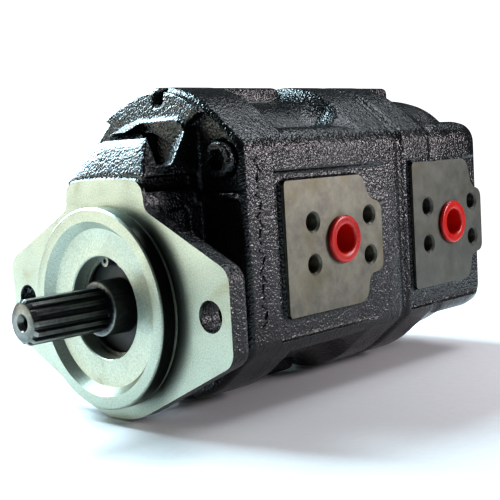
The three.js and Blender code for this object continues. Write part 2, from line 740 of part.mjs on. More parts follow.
for (const [section, side] of ["front", "rear"].entries()) {
  place(`${side}_driven_gear`, gearShaft(section, drivenPhase), GROUND_STEEL)
    .position.z = CENTRE_DISTANCE;
  for (const [end, where] of ["fore", "aft"].entries()) {
    place(`${side}_${where}_bearing_block`, bearingBlock(section, end), ALUMINIUM);
    place(`${side}_${where}_drive_bush`, bush(section, end, 0), BRONZE);
    place(`${side}_${where}_driven_bush`, bush(section, end, CENTRE_DISTANCE), BRONZE);
    place(`${side}_${where}_pressure_seal`, blockSeal(section, end), RUBBER);
  }
  for (const [kind, port] of [["outlet", OUTLET], ["inlet", INLET]]) {
    place(`${side}_${kind}_plug`, portPlug(port), RED_PLASTIC)
      .position.set(port.side * HALF_WIDTH, PORT_Y[section], PORT_Z);
  }
}

place("shaft_seal", shaftSeal(), RUBBER);
place("shaft_seal_spring", lipSpring(), GROUND_STEEL);
place("seal_retaining_ring", retainingRing(), BLACK_STEEL);

for (const [joint, seam] of [["front", SEAM_1], ["rear", SEAM_2]]) {
  const seal = racetrack(JOINT_SEAL.inner, JOINT_SEAL.outer, seam - JOINT_SEAL.depth, seam - GAP);
  place(`${joint}_joint_seal`, seal, RUBBER);
  DOWELS.forEach(([x, z], i) => {
    const dowel = rodY(DOWEL_RADIUS, seam - DOWEL_HALF_LENGTH, seam + DOWEL_HALF_LENGTH, x, z, 12);
    place(`${joint}_dowel_${i + 1}`, dowel, GROUND_STEEL);
  });
}
CORNERS.forEach((corner, i) => {
  place(`tie_bolt_${i + 1}`, tieBolt(corner), BLACK_STEEL);
  place(`tie_bolt_washer_${i + 1}`, tieBoltWasher(corner), GROUND_STEEL);
});

export default pump;
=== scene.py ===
import math

import bmesh
import bpy
import numpy as np
from mathutils import Matrix, Vector


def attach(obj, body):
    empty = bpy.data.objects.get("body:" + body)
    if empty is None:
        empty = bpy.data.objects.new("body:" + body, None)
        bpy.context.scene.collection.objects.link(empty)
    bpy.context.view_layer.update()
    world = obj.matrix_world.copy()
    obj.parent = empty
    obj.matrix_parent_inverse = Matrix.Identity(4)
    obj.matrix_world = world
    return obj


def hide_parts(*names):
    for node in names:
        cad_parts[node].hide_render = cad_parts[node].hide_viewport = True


# Tandem hydraulic gear pump. Sizes below are in millimetres and become metres when a mesh is made.
# The shaft axis is the Y axis, the mounting face is at y = 0 and the outlet ports face +X.

MM = 0.001
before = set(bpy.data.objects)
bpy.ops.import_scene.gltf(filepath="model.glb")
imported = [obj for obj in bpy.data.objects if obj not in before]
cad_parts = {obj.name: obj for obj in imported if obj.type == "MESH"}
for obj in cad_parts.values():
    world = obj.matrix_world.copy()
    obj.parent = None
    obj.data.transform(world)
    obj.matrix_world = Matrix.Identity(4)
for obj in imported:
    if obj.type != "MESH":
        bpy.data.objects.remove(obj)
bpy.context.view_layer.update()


# ---- Front cover casting ----
# Grey cast iron poured in a sand mould: a mounting flange and neck in front, a thick plate behind.
# Sand gives it rounded edges and a rough skin. Only the faces that locate other parts are machined.


def mesh_object(name, verts, faces):
    """A closed mesh from vertices in millimetres."""
    mesh = bpy.data.meshes.new(name)
    mesh.from_pydata([(x * MM, y * MM, z * MM) for x, y, z in verts], [], faces)
    made = bmesh.new()
    made.from_mesh(mesh)
    bmesh.ops.recalc_face_normals(made, faces=made.faces)
    made.to_mesh(mesh)
    made.free()
    thing = bpy.data.objects.new(name, mesh)
    bpy.context.scene.collection.objects.link(thing)
    return thing


def skin(name, rings):
    """A closed skin through rings of equal length, with a flat face on each end."""
    count = len(rings[0])
    faces = [
        (k * count + i, k * count + (i + 1) % count, (k + 1) * count + (i + 1) % count, (k + 1) * count + i)
        for k in range(len(rings) - 1)
        for i in range(count)
    ]
    last = (len(rings) - 1) * count
    faces += [tuple(range(count)), tuple(last + i for i in range(count))]
    return mesh_object(name, [p for ring in rings for p in ring], faces)


def drawn_y(name, outline, y0, y1):
    """An x, z outline drawn out along Y."""
    return skin(name, [[(x, y, z) for x, z in outline] for y in (y0, y1)])


def drawn_x(name, outline, x0, x1):
    """A y, z outline drawn out along X."""
    return skin(name, [[(x, y, z) for y, z in outline] for x in (x0, x1)])


def block(name, x0, x1, y0, y1, z0, z1):
    """A square block between six planes."""
    return drawn_y(name, [(x0, z0), (x1, z0), (x1, z1), (x0, z1)], y0, y1)


def arc(cx, cz, radius, start, end, steps):
    """Points on an arc, angles in degrees."""
    angles = [math.radians(start + (end - start) * i / steps) for i in range(steps + 1)]
    return [(cx + radius * math.cos(a), cz + radius * math.sin(a)) for a in angles]


def turned(name, profile, x=0, z=0, steps=96):
    """A turned piece on an axis along Y, from a closed profile of (radius, y) pairs."""
    rings = []
    for i in range(steps):
        turn = 2 * math.pi * i / steps
        rings.append([(x + r * math.cos(turn), y, z + r * math.sin(turn)) for r, y in profile])
    count = len(profile)
    faces = [
        (k * count + i, k * count + (i + 1) % count,
         (k + 1) % steps * count + (i + 1) % count, (k + 1) % steps * count + i)
        for k in range(steps)
        for i in range(count)
    ]
    thing = mesh_object(name, [p for ring in rings for p in ring], faces)
    made = bmesh.new()
    made.from_mesh(thing.data)
    bmesh.ops.remove_doubles(made, verts=made.verts, dist=1e-6)
    bmesh.ops.dissolve_degenerate(made, edges=made.edges, dist=1e-7)
    bmesh.ops.recalc_face_normals(made, faces=made.faces)
    made.to_mesh(thing.data)
    made.free()
    return thing


def bake_modifiers(thing):
    """Makes the modifiers part of the mesh."""
    bpy.context.view_layer.update()
    graph = bpy.context.evaluated_depsgraph_get()
    mesh = bpy.data.meshes.new_from_object(thing.evaluated_get(graph))
    thing.modifiers.clear()
    thing.data = mesh
    return thing


def combine(thing, others, operation):
    """Joins other solids to a solid, or cuts them from it, and removes them."""
    for other in others:
        step = thing.modifiers.new("step", "BOOLEAN")
        step.operation = operation
        step.solver = "MANIFOLD"
        step.object = other
        bake_modifiers(thing)
        bpy.data.objects.remove(other)
    return thing


def cast(thing, grain=0.8, rounds=6):
    """Gives a solid the soft edges and fillets of a sand casting."""
    remesh = thing.modifiers.new("remesh", "REMESH")
    remesh.mode = "VOXEL"
    remesh.voxel_size = grain * MM
    soft = thing.modifiers.new("soft", "SMOOTH")
    soft.factor = 0.6
    soft.iterations = rounds
    return bake_modifiers(thing)


BODY_Z = 26.5
HALF_WIDTH = 60.2
CORNER_RADIUS = 12
CORNER_RISE = 46.5
ARCH_RADIUS = 64
ARCH_RISE = 19
BARREL_RADIUS = 51
BARREL_RISE = 23.5


def body_outline(waist=0.0, inset=0.0):
    """The castings' outline: rounded corners and an arch. A waisted one follows the gear bore."""
    corner_x = HALF_WIDTH - CORNER_RADIUS
    rise = CORNER_RISE - ARCH_RISE
    tangent = math.degrees(
        math.atan2(rise, corner_x)
        + math.acos((ARCH_RADIUS - CORNER_RADIUS) / math.hypot(corner_x, rise))
    )
    ledge = math.degrees(math.asin((CORNER_RISE + CORNER_RADIUS - BARREL_RISE) / BARREL_RADIUS))
    full = arc(corner_x, CORNER_RISE, CORNER_RADIUS, 0, tangent, 14)
    full += arc(0, ARCH_RISE, ARCH_RADIUS, tangent, 90, 40)
    thin = arc(corner_x, CORNER_RISE, CORNER_RADIUS, 0, 90, 14)
    start = thin[-1]
    barrel = arc(0, BARREL_RISE, BARREL_RADIUS, ledge, 90, 32)
    thin += [
        (start[0] + (barrel[0][0] - start[0]) * i / 8, start[1] + (barrel[0][1] - start[1]) * i / 8)
        for i in range(8)
    ] + barrel
    quarter = [
        (a[0] + (b[0] - a[0]) * waist, a[1] + (b[1] - a[1]) * waist) for a, b in zip(full, thin)
    ]
    half = quarter + [(-x, z) for x, z in reversed(quarter[:-1])]
    top = quarter[-1][1]
    ring = half + [(-x, -z) for x, z in half]
    return [(x * (1 - inset / HALF_WIDTH), BODY_Z + z * (1 - inset / top)) for x, z in ring]


def body_skin(name, stations):
    """A casting through outlines at (y, waist, inset)."""
    return skin(name, [[(x, y, z) for x, z in body_outline(w, i)] for y, w, i in stations])


CORNERS = [(1, 1), (-1, 1), (-1, -1), (1, -1)]
BOLT_X = 47.5
BOLT_RISE = 44
SEAM_1 = 61
SEAM_2 = 168
PLATE_FRONT = 39
JOINT_GAP = 0.15

FLANGE_ROUND = 57.5
FLANGE_THICKNESS = 12
EAR_REACH = 86.3
EAR_CORNER = 9
EAR_FACE = 63.5
TAB_HALF_WIDTH = 31
TAB_TOP = 64


def flange_outline(inset=0.0):
    """Two ears tangent to a round bottom, and a tab on top."""
    face = math.radians(EAR_FACE)

    def slope(x):
        return (FLANGE_ROUND - x * math.cos(face)) / math.sin(face)

    ear_x = EAR_REACH - EAR_CORNER
    ear_z = (FLANGE_ROUND - EAR_CORNER - ear_x * math.cos(face)) / math.sin(face)
    tab = TAB_HALF_WIDTH
    half = arc(0, 0, FLANGE_ROUND - inset, -90, -EAR_FACE, 10)
    half += arc(ear_x, -ear_z, EAR_CORNER - inset, -EAR_FACE, 0, 8)
    half += arc(ear_x, ear_z, EAR_CORNER - inset, 0, EAR_FACE, 8)
    half += [
        (tab + 6, slope(tab + 6) - inset),
        (tab + 3, slope(tab + 3) - inset),
        (tab + 1 - inset, slope(tab + 1) + 0.6),
        (tab - inset, slope(tab) + 3),
        (tab - inset, TAB_TOP - 9),
        (tab - 1.2 - inset, TAB_TOP - 4.5),
        (tab - 5, TAB_TOP - 1.2 - inset),
        (tab - 14, TAB_TOP - 0.3 - inset),
        (0, TAB_TOP - inset),
    ]
    return half + [(-x, z) for x, z in reversed(half[1:-1])]


def rounded_block(name, x0, x1, y0, y1, z0, z1, radius):
    """A core for a cast pocket, with rounded edges."""
    core = block(name, x0, x1, y0, y1, z0, z1)
    edge = core.modifiers.new("edge", "BEVEL")
    edge.width = radius * MM
    edge.segments = 5
    return bake_modifiers(core)


stock = 3  # the casting is poured this much too thick where it is machined later
cover = skin("cover_casting", [
    [(x, y, z) for x, z in flange_outline(i)]
    for y, i in (
        (-stock, 0), (FLANGE_THICKNESS - 3, 0), (FLANGE_THICKNESS - 0.9, 0.8), (FLANGE_THICKNESS, 2.6),
    )
])
plate = body_skin("plate", [
    (PLATE_FRONT, 0, 2.4), (PLATE_FRONT + 0.7, 0, 1.1), (PLATE_FRONT + 2.4, 0, 0),
    (SEAM_1 - 2, 0, 0), (SEAM_1 + stock, 0, 0),
])
HOOD_HALF_WIDTH = 30.5
HOOD_SLOPE = [
    (0, 62), (1, 65), (2.5, 68.5), (5, 74), (8, 79.5), (11, 83),
    (14, 85), (20, 87.5), (26, 90), (31, 92), (41, 95),
]


def hood_top(x, y):
    """Height of the hood: a steep front slope that leans back on the left, with a rounded edge."""
    run = y * (1 - 0.018 * max(0.0, -9 - x))
    ys, zs = zip(*HOOD_SLOPE)
    return float(np.interp(run, ys, zs)) - 0.085 * min(1.0, y / 12) * max(0.0, abs(x) - 20.5) ** 2


hood_columns = [HOOD_HALF_WIDTH - 61 * i / 60 for i in range(61)]
hood = skin("hood", [
    [(HOOD_HALF_WIDTH, y, 30)] + [(x, y, hood_top(x, y)) for x in hood_columns] + [(-HOOD_HALF_WIDTH, y, 30)]
    for y in [1.5 + 0.5 * k for k in range(80)]
])
neck = [
    block("neck_wide", -TAB_HALF_WIDTH, TAB_HALF_WIDTH, 8, 25, -44, 60),
    block("neck_narrow", -20, 20, 20, 41, -42, 80),
    turned("neck_front", [(0, 8), (46, 8), (42, 22), (0, 22)]),
    turned("neck_rear", [(0, 20), (38, 20), (42, 41), (0, 41)]),
]
fan = [(9, 77), (52, 104), (52, 120), (-52, 120), (-52, 104), (-9, 77)]
plateau = skin("plateau", [
    [(x, y + max(0.0, z - 92) * tilt, z) for x, z in fan] for y, tilt in ((31, 0.34), (42, 0.0))
])
combine(plateau, [drawn_y("plateau_edge", body_outline(0, 2.2), 25, 45)], "INTERSECT")
ledges = [
    rounded_block("ledge", x0, x1, 34.5, 42, 50.5, 54.5, 1.4) for x0, x1 in ((30, 58), (-58, -30))
]
combine(cover, [plate, hood, *neck, plateau, *ledges], "UNION")
pockets = []
for s in (1, -1):
    for x0, x1, y0, y1, z0, z1, r in (
        (23, 44, 2.4, 37.5, 57.2, 64.4, 1.2),
        (26, 44, FLANGE_THICKNESS + 4, 30, 8, 48, 4),
    ):
        pockets.append(rounded_block("pocket", min(s * x0, s * x1), max(s * x0, s * x1), y0, y1, z0, z1, r))
pockets.append(rounded_block("slot", 1.5, 8.5, 30, 46, 99, 116, 2))
# On the right the hood opens upward: a pocket with a sloping back and a round-topped hollow in it.
pockets.append(skin("cavity_right", [
    [(-3, 12, z), (44, 12, z), (44, slant, z), (31, slant, z), (back, 31.5, z), (-3, 31.5, z)]
    for z, slant, back in (
        (69.5, 19.7, 8), (77, 24.4, 16.8), (84, 28.8, 25.5), (88.5, 31.4, 30.9), (100, 31.4, 30.9),
    )
]))
pockets.append(drawn_y("hollow", [(-3, 70), (20.4, 70)] + arc(0, 65, 21, 14, 98, 16), 30, 37.5))
pockets.append(skin("cheek", [
    [(edge, -2, z), (44, -2, z), (44, 20, z), (edge, 20, z)]
    for z, edge in ((66, 30.2), (76, 26.5), (85, 22.5), (96, 18))
]))
pockets.append(skin("cavity_left", [
    [(3, 12, z), (3, 31.5, z), (-back, 31.5, z), (-33, mouth, z), (-44, mouth, z), (-44, 12, z)]
    for z, mouth, back in (
        (69.5, 18, 20), (74, 22, 18.5), (77, 23, 17), (81, 23, 13), (85, 22, 6), (86.5, 20, 0),
    )
]))
combine(cover, pockets, "DIFFERENCE")
cast(cover, grain=0.75, rounds=7)

PILOT_RADIUS = 50.8
PILOT_HEIGHT = 9.5
MOUNT_HOLE_X = 73
MOUNT_HOLE_RADIUS = 7.15
SEAL_BORE = 26
pilot = turned("pilot", [
    (24, -PILOT_HEIGHT), (PILOT_RADIUS - 1.2, -PILOT_HEIGHT), (PILOT_RADIUS - 1, -PILOT_HEIGHT + 0.05),
    (PILOT_RADIUS, 1.1 - PILOT_HEIGHT), (PILOT_RADIUS, -1.8), (PILOT_RADIUS - 0.7, -1.4),
    (PILOT_RADIUS - 0.7, 1.2), (24, 1.2),
], steps=192)
face_cut = block("face_cut", -120, 120, -40, 0, -120, 150)
joint_cut = block("joint_cut", -120, 120, SEAM_1 - JOINT_GAP, SEAM_1 + 20, -120, 150)
combine(cover, [face_cut, joint_cut], "DIFFERENCE")
combine(cover, [pilot], "UNION")
holes = [turned("mount_hole", [
    (0, -2), (MOUNT_HOLE_RADIUS + 0.5, -0.5), (MOUNT_HOLE_RADIUS + 0.5, 0), (MOUNT_HOLE_RADIUS, 0.5),
    (MOUNT_HOLE_RADIUS, FLANGE_THICKNESS + 4), (0, FLANGE_THICKNESS + 4),
], x=s * MOUNT_HOLE_X) for s in (1, -1)]
for sx, sz in CORNERS:
    x, z = sx * BOLT_X, BODY_Z + sz * BOLT_RISE
    holes.append(turned("bolt_hole", [
        (0, PLATE_FRONT - 9), (10.6, PLATE_FRONT - 9), (10.6, 46), (6.4, 46),
        (6.4, SEAM_1 + 1), (0, SEAM_1 + 1),
    ], x=x, z=z))
holes.append(turned("shaft_bore", [
    (0, -PILOT_HEIGHT - 1), (44.6, -PILOT_HEIGHT - 0.6), (44, -PILOT_HEIGHT), (40.2, -4.7), (39.6, -4.5),
    (SEAL_BORE + 0.6, -4.5), (SEAL_BORE, -3.9), (SEAL_BORE, 3), (27.5, 3), (27.5, 5), (SEAL_BORE, 5),
    (SEAL_BORE, 16), (16, 17), (16, SEAM_1 + 1), (0, SEAM_1 + 1),
], steps=192))
combine(cover, holes, "DIFFERENCE")

# Short raised ribs on the side of the plate, in the place of a foundry's casting marks. They lean
# this way and that and spell nothing.
ribs = []
for i in range(19):
    z = 70 - i * 4.6
    lean = math.radians((35, -50, 80, 10, -25, 65)[i % 6])
    rib = rounded_block("rib", 58, 60.9, -2.3, 2.3, -0.75, 0.75, 0.5)
    rib.data.transform(Matrix.Rotation(lean, 4, "X"))
    rib.data.transform(Matrix.Translation((0, (49.4 + 1.6 * (i % 2)) * MM, z * MM)))
    ribs.append(rib)
combine(cover, ribs, "UNION")


def linear(hex_colour):
    """The linear value of an sRGB colour."""
    parts = [int(hex_colour[i:i + 2], 16) / 255 for i in (1, 3, 5)]
    return (*[p / 12.92 if p <= 0.04045 else ((p + 0.055) / 1.055) ** 2.4 for p in parts], 1.0)


def add(tree, kind, settings=None, **links):
    """Adds a node with its settings; each link names one of its sockets and what feeds it."""
    node = tree.nodes.new(kind)
    for key, value in (settings or {}).items():
        if isinstance(key, int) or key in node.inputs:
            node.inputs[key].default_value = value
        else:
            setattr(node, key, value)
    for name, source in links.items():
        socket = node.inputs[int(name[1:])] if name[0] == "i" and name[1:].isdigit() else node.inputs[name]
        tree.links.new(source, socket)
    return node


def new_material(name):
    """An empty material with its surface shader and the object's own coordinates."""
    material = bpy.data.materials.new(name)
    material.use_nodes = True
    tree = material.node_tree
    tree.nodes.clear()
    shader = add(tree, "ShaderNodeBsdfPrincipled")
    add(tree, "ShaderNodeOutputMaterial", Surface=shader.outputs["BSDF"])
    place = add(tree, "ShaderNodeTexCoord").outputs["Object"]
    return material, tree, shader, place


def ramp(tree, fac, stops):
    """A colour ramp from (position, sRGB hex) stops."""
    node = add(tree, "ShaderNodeValToRGB", i0=fac)
    band = node.color_ramp
    while len(band.elements) < len(stops):
        band.elements.new(0.5)
    for element, (position, value) in zip(band.elements, stops):
        element.position = position
        element.color = linear(value)
    return node.outputs["Color"]


# Gloss black paint on a sand casting: a wet-looking film that follows every grain of the skin.
# Grain is about 0.9 mm across, drawn 1.4 mm so that it shows, with wider lumps of 5 mm.
paint, tree, shader, place = new_material("gloss black paint on sand-cast iron")
grain = add(tree, "ShaderNodeTexNoise", {"Scale": 1000 / 1.4, "Detail": 1.5, "Roughness": 0.5}, Vector=place)
lumps = add(tree, "ShaderNodeTexNoise", {"Scale": 1000 / 5.0, "Detail": 2.0, "Roughness": 0.5}, Vector=place)
patches = add(tree, "ShaderNodeTexNoise", {"Scale": 1000 / 38, "Detail": 3.0, "Roughness": 0.6}, Vector=place)
wear = ramp(tree, patches.outputs["Fac"], [(0.35, "#020304"), (0.62, "#05070a")])
tree.links.new(wear, shader.inputs["Base Color"])
gloss = add(tree, "ShaderNodeMapRange", {"From Min": 0.3, "From Max": 0.7, "To Min": 0.2, "To Max": 0.32},
            Value=patches.outputs["Fac"])
tree.links.new(gloss.outputs["Result"], shader.inputs["Roughness"])
bump_lumps = add(tree, "ShaderNodeBump", {"Strength": 0.5, "Distance": 0.7 * MM}, Height=lumps.outputs["Fac"])
bump_grain = add(tree, "ShaderNodeBump", {"Strength": 1.0, "Distance": 0.7 * MM},
                 Height=grain.outputs["Fac"], Normal=bump_lumps.outputs["Normal"])
tree.links.new(bump_grain.outputs["Normal"], shader.inputs["Normal"])
shader.inputs["Specular IOR Level"].default_value = 0.6

# Face-milled cast iron: turned rings a fraction of a millimetre apart, and dried oil in patches.
# The rings are drawn 0.9 mm apart so that they show. Shade is painted near-black on the pilot's outer side
# and on the flange around its root, towards +X.
turned_iron, tree, shader, place = new_material("turned cast iron, stained, with painted shade")
split = add(tree, "ShaderNodeSeparateXYZ", Vector=place)
square_x = add(tree, "ShaderNodeMath", {"operation": "MULTIPLY"},
               i0=split.outputs["X"], i1=split.outputs["X"])
radius_2 = add(tree, "ShaderNodeMath", {"operation": "MULTIPLY_ADD"},
               i0=split.outputs["Z"], i1=split.outputs["Z"], i2=square_x.outputs[0])
radius = add(tree, "ShaderNodeMath", {"operation": "SQRT"}, i0=radius_2.outputs[0])
rings = add(tree, "ShaderNodeMath", {"operation": "MULTIPLY", 1: 2 * math.pi * 1000 / 0.9},
            i0=radius.outputs[0])
groove = add(tree, "ShaderNodeMath", {"operation": "SINE"}, i0=rings.outputs[0])
fleck = add(tree, "ShaderNodeTexNoise", {"Scale": 1000 / 0.8, "Detail": 3.0, "Roughness": 0.65}, Vector=place)
cloud = add(tree, "ShaderNodeTexNoise",
            {"Scale": 1000 / 26, "Detail": 4.0, "Roughness": 0.62, "Distortion": 0.6}, Vector=place)
base = ramp(tree, fleck.outputs["Fac"], [(0.3, "#94998c"), (0.7, "#b9beb0")])
stain = ramp(tree, cloud.outputs["Fac"], [(0.56, "#000000"), (0.78, "#b0b0b0")])
rust = add(tree, "ShaderNodeMix", {"data_type": "RGBA"}, i0=stain, i6=base)
rust.inputs[7].default_value = linear("#94804a")
# Painted shade: near-black on the pilot's outer side, fading out across the flange around it, and only
# towards +X.
root_in = add(tree, "ShaderNodeMapRange", {"From Min": 0.0501, "From Max": 0.0506}, Value=radius.outputs[0])
root_out = add(tree, "ShaderNodeMapRange",
               {"From Min": 0.0509, "From Max": 0.062, "To Min": 1.0, "To Max": 0.0}, Value=radius.outputs[0])
right = add(tree, "ShaderNodeMapRange", {"From Min": 0.012, "From Max": 0.036}, Value=split.outputs["X"])
pilot_shade_band = add(tree, "ShaderNodeMath", {"operation": "MULTIPLY"}, i0=root_in.outputs[0], i1=root_out.outputs[0])
painted_shade_right = add(tree, "ShaderNodeMath", {"operation": "MULTIPLY"}, i0=pilot_shade_band.outputs[0], i1=right.outputs[0])
painted_shade_mix = add(tree, "ShaderNodeMix", {"data_type": "RGBA"}, i0=painted_shade_right.outputs[0], i6=rust.outputs[2])
painted_shade_mix.inputs[7].default_value = linear("#14140f")
tree.links.new(painted_shade_mix.outputs[2], shader.inputs["Base Color"])
shader.inputs["Metallic"].default_value = 0.75
rough = add(tree, "ShaderNodeMapRange", {"From Min": 0.3, "From Max": 0.75, "To Min": 0.3, "To Max": 0.5},
            Value=cloud.outputs["Fac"])
tree.links.new(rough.outputs["Result"], shader.inputs["Roughness"])
bump_rings = add(tree, "ShaderNodeBump", {"Strength": 0.25, "Distance": 0.02 * MM}, Height=groove.outputs[0])
bump_fleck = add(tree, "ShaderNodeBump", {"Strength": 0.4, "Distance": 0.05 * MM},
                 Height=fleck.outputs["Fac"], Normal=bump_rings.outputs["Normal"])
tree.links.new(bump_fleck.outputs["Normal"], shader.inputs["Normal"])


def finish_casting(thing, machined, is_machined):
    """Paints a casting and gives its machined faces their own material."""
    mesh = thing.data
    mesh.materials.clear()
    mesh.materials.append(paint)
    mesh.materials.append(machined)
    count = len(mesh.polygons)
    centre, normal = np.empty(count * 3), np.empty(count * 3)
    mesh.polygons.foreach_get("center", centre)
    mesh.polygons.foreach_get("normal", normal)
    centre, normal = centre.reshape(-1, 3) / MM, normal.reshape(-1, 3)
    bare = is_machined(centre, normal)
    mesh.polygons.foreach_set("material_index", bare.astype(np.int32))
    mesh.polygons.foreach_set("use_smooth", np.ones(count, bool))
    mesh.update()
    mesh.set_sharp_from_angle(angle=math.radians(32))
    return thing


def cover_bare(centre, normal):
    """The pilot, its recess, the mounting face and the joint face at the rear."""
    radius = np.hypot(centre[:, 0], centre[:, 2])
    pilot_skin = (radius < PILOT_RADIUS + 0.1) & (centre[:, 1] < 16)
    face = (np.abs(centre[:, 1]) < 0.06) & (normal[:, 1] < -0.9)
    joint = (centre[:, 1] > SEAM_1 - 0.4) & (normal[:, 1] > 0.9)
    return pilot_skin | face | joint


cover.name = "front_cover_casting"
finish_casting(cover, turned_iron, cover_bare)
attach(cover, "pump_body")
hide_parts("front_cover")


# ---- Gear housings ----
# Two sand-cast housings, one behind the other. Each follows its gear bore between thick rims that
# carry the tie bolts. The outlet pads are milled flat, drilled and tapped.

PORT_Y = (113.1, 217.7)
PORT_Z = 24
PAD_PROUD = 3
GEAR_BORE = 29.4
REAR_FACE = 256
REAR_ROUND = 15
REAR_DOME = 250  # behind this the rear housing stays as cast and is painted


def smooth_step(t):
    """Rises from 0 to 1 with no corner at either end."""
    t = max(0.0, min(1.0, t))
    return t * t * (3 - 2 * t)


def pad_outline(y, reach, top):
    """An outlet pad: a plate with a narrower tongue at its rear."""
    low, rear, tongue, tongue_low, tongue_top = -12.8, 21, 34.5, 3, 43
    a, b = y - reach, y + rear
    points = [(a, low + 1), (a + 1, low), (b - 8, low)]
    points += arc(b - 8, low + 8, 8, -90, -20, 6)
    points += [(b + 1.2, tongue_low - 3), (b + 4, tongue_low - 0.6)]
    points += arc(y + tongue - 5, tongue_low + 5, 5, -80, 0, 6)
    points += arc(y + tongue - 6, tongue_top - 6, 6, 0, 70, 6)
    points += [(b + 6, tongue_top + 0.6), (b + 2.6, tongue_top + 3.4)]
    points += arc(b - 7, top - 7, 7, 20, 90, 6)
    points += [(a + 1, top), (a, top - 1)]
    return points


OUTLET = {"side": 1, "bore": 9.5, "bolt_y": 23.8, "bolt_z": 11.1, "thread": 4.6, "pitch": 1.5}
INLET = {"side": -1, "bore": 16, "bolt_y": 29.35, "bolt_z": 15.1, "thread": 5.4, "pitch": 1.75}


def turn_to_x(thing, side, y, z):
    """Lays a piece made on the Y axis along X, with its start on a port face."""
    thing.data.transform(Matrix.Rotation(-side * math.pi / 2, 4, "Z"))
    thing.data.transform(Matrix.Translation((side * HALF_WIDTH * MM, y * MM, z * MM)))
    return thing


def threaded_core(port, y, z):
    """What a tap and a countersink take out of a port face, thread included."""
    around, depth, pitch = 24, 20, port["pitch"]
    rings = []
    for step in range(int(depth / pitch * 6) + 1):
        along = 0.5 - step * pitch / 6
        ring = []
        for i in range(around):
            turn = i / around
            wave = abs((step / 6 - turn) % 1 - 0.5) * 2
            lead_in = max(0.0, min(1.4, 1.2 + along))
            radius = port["thread"] + max(lead_in, 0.45 * wave - 0.2)
            angle = turn * 2 * math.pi
            ring.append((radius * math.cos(angle), along, radius * math.sin(angle)))
        rings.append(ring)
    return turn_to_x(skin("tapped_hole", rings), port["side"], y, z)


def port_cores(port, y):
    """What is drilled at one port: its bore and four tapped holes."""
    cores = [turn_to_x(turned("port_bore", [
        (0, 1), (port["bore"] + 1.2, 1), (port["bore"] + 0.6, 0), (port["bore"], -0.6),
        (port["bore"], -46), (0, -46),
    ]), port["side"], y, PORT_Z)]
    for sy, sz in CORNERS:
        cores.append(threaded_core(port, y + sy * port["bolt_y"], PORT_Z + sz * port["bolt_z"]))
    return cores


# Milled pad: fine overlapping cutter arcs, dull, with mottled stains where hands and oil have been.
# The arcs are 1.1 mm apart and about 90 mm across, as from a face mill.
milled = []
for name, light, dark, tint in (
    ("milled cast iron, fingermarked", "#7d7b6e", "#64625a", "#5f5739"),
    # The rear pad's copy is the same milled iron drawn darker all over, as painted shade.
    ("milled cast iron, fingermarked, painted shade", "#65665f", "#565852", "#4f4935"),
):
    material, tree, shader, place = new_material(name)
    away = add(tree, "ShaderNodeMapping", {"Location": (0, -0.06, 0.03)}, Vector=place)
    split = add(tree, "ShaderNodeSeparateXYZ", Vector=away.outputs["Vector"])
    square_y = add(tree, "ShaderNodeMath", {"operation": "MULTIPLY"},
                   i0=split.outputs["Y"], i1=split.outputs["Y"])
    sweep_2 = add(tree, "ShaderNodeMath", {"operation": "MULTIPLY_ADD"},
                  i0=split.outputs["Z"], i1=split.outputs["Z"], i2=square_y.outputs[0])
    sweep = add(tree, "ShaderNodeMath", {"operation": "SQRT"}, i0=sweep_2.outputs[0])
    phase = add(tree, "ShaderNodeMath", {"operation": "MULTIPLY", 1: 2 * math.pi * 1000 / 1.1},
                i0=sweep.outputs[0])
    groove = add(tree, "ShaderNodeMath", {"operation": "SINE"}, i0=phase.outputs[0])
    fleck = add(tree, "ShaderNodeTexNoise",
                {"Scale": 1000 / 1.0, "Detail": 3.0, "Roughness": 0.6}, Vector=place)
    cloud = add(tree, "ShaderNodeTexNoise",
                {"Scale": 1000 / 11, "Detail": 6.0, "Roughness": 0.72, "Distortion": 0.2}, Vector=place)
    oil = add(tree, "ShaderNodeTexNoise",
              {"Scale": 1000 / 30, "Detail": 2.0, "Roughness": 0.5, "Distortion": 0.5}, Vector=place)
    base = ramp(tree, cloud.outputs["Fac"], [(0.36, dark), (0.62, light)])
    mask = ramp(tree, oil.outputs["Fac"], [(0.52, "#000000"), (0.68, "#b0b0b0")])
    stained = add(tree, "ShaderNodeMix", {"data_type": "RGBA"}, i0=mask, i6=base)
    stained.inputs[7].default_value = linear(tint)
    tree.links.new(stained.outputs[2], shader.inputs["Base Color"])
    shader.inputs["Metallic"].default_value = 0.7
    rough = add(tree, "ShaderNodeMapRange",
                {"From Min": 0.3, "From Max": 0.7, "To Min": 0.42, "To Max": 0.52},
                Value=cloud.outputs["Fac"])
    tree.links.new(rough.outputs["Result"], shader.inputs["Roughness"])
    bump_arcs = add(tree, "ShaderNodeBump", {"Strength": 0.2, "Distance": 0.03 * MM},
                    Height=groove.outputs[0])
    bump_fleck = add(tree, "ShaderNodeBump", {"Strength": 0.35, "Distance": 0.05 * MM},
                     Height=fleck.outputs["Fac"], Normal=bump_arcs.outputs["Normal"])
    tree.links.new(bump_fleck.outputs["Normal"], shader.inputs["Normal"])
    milled.append(material)


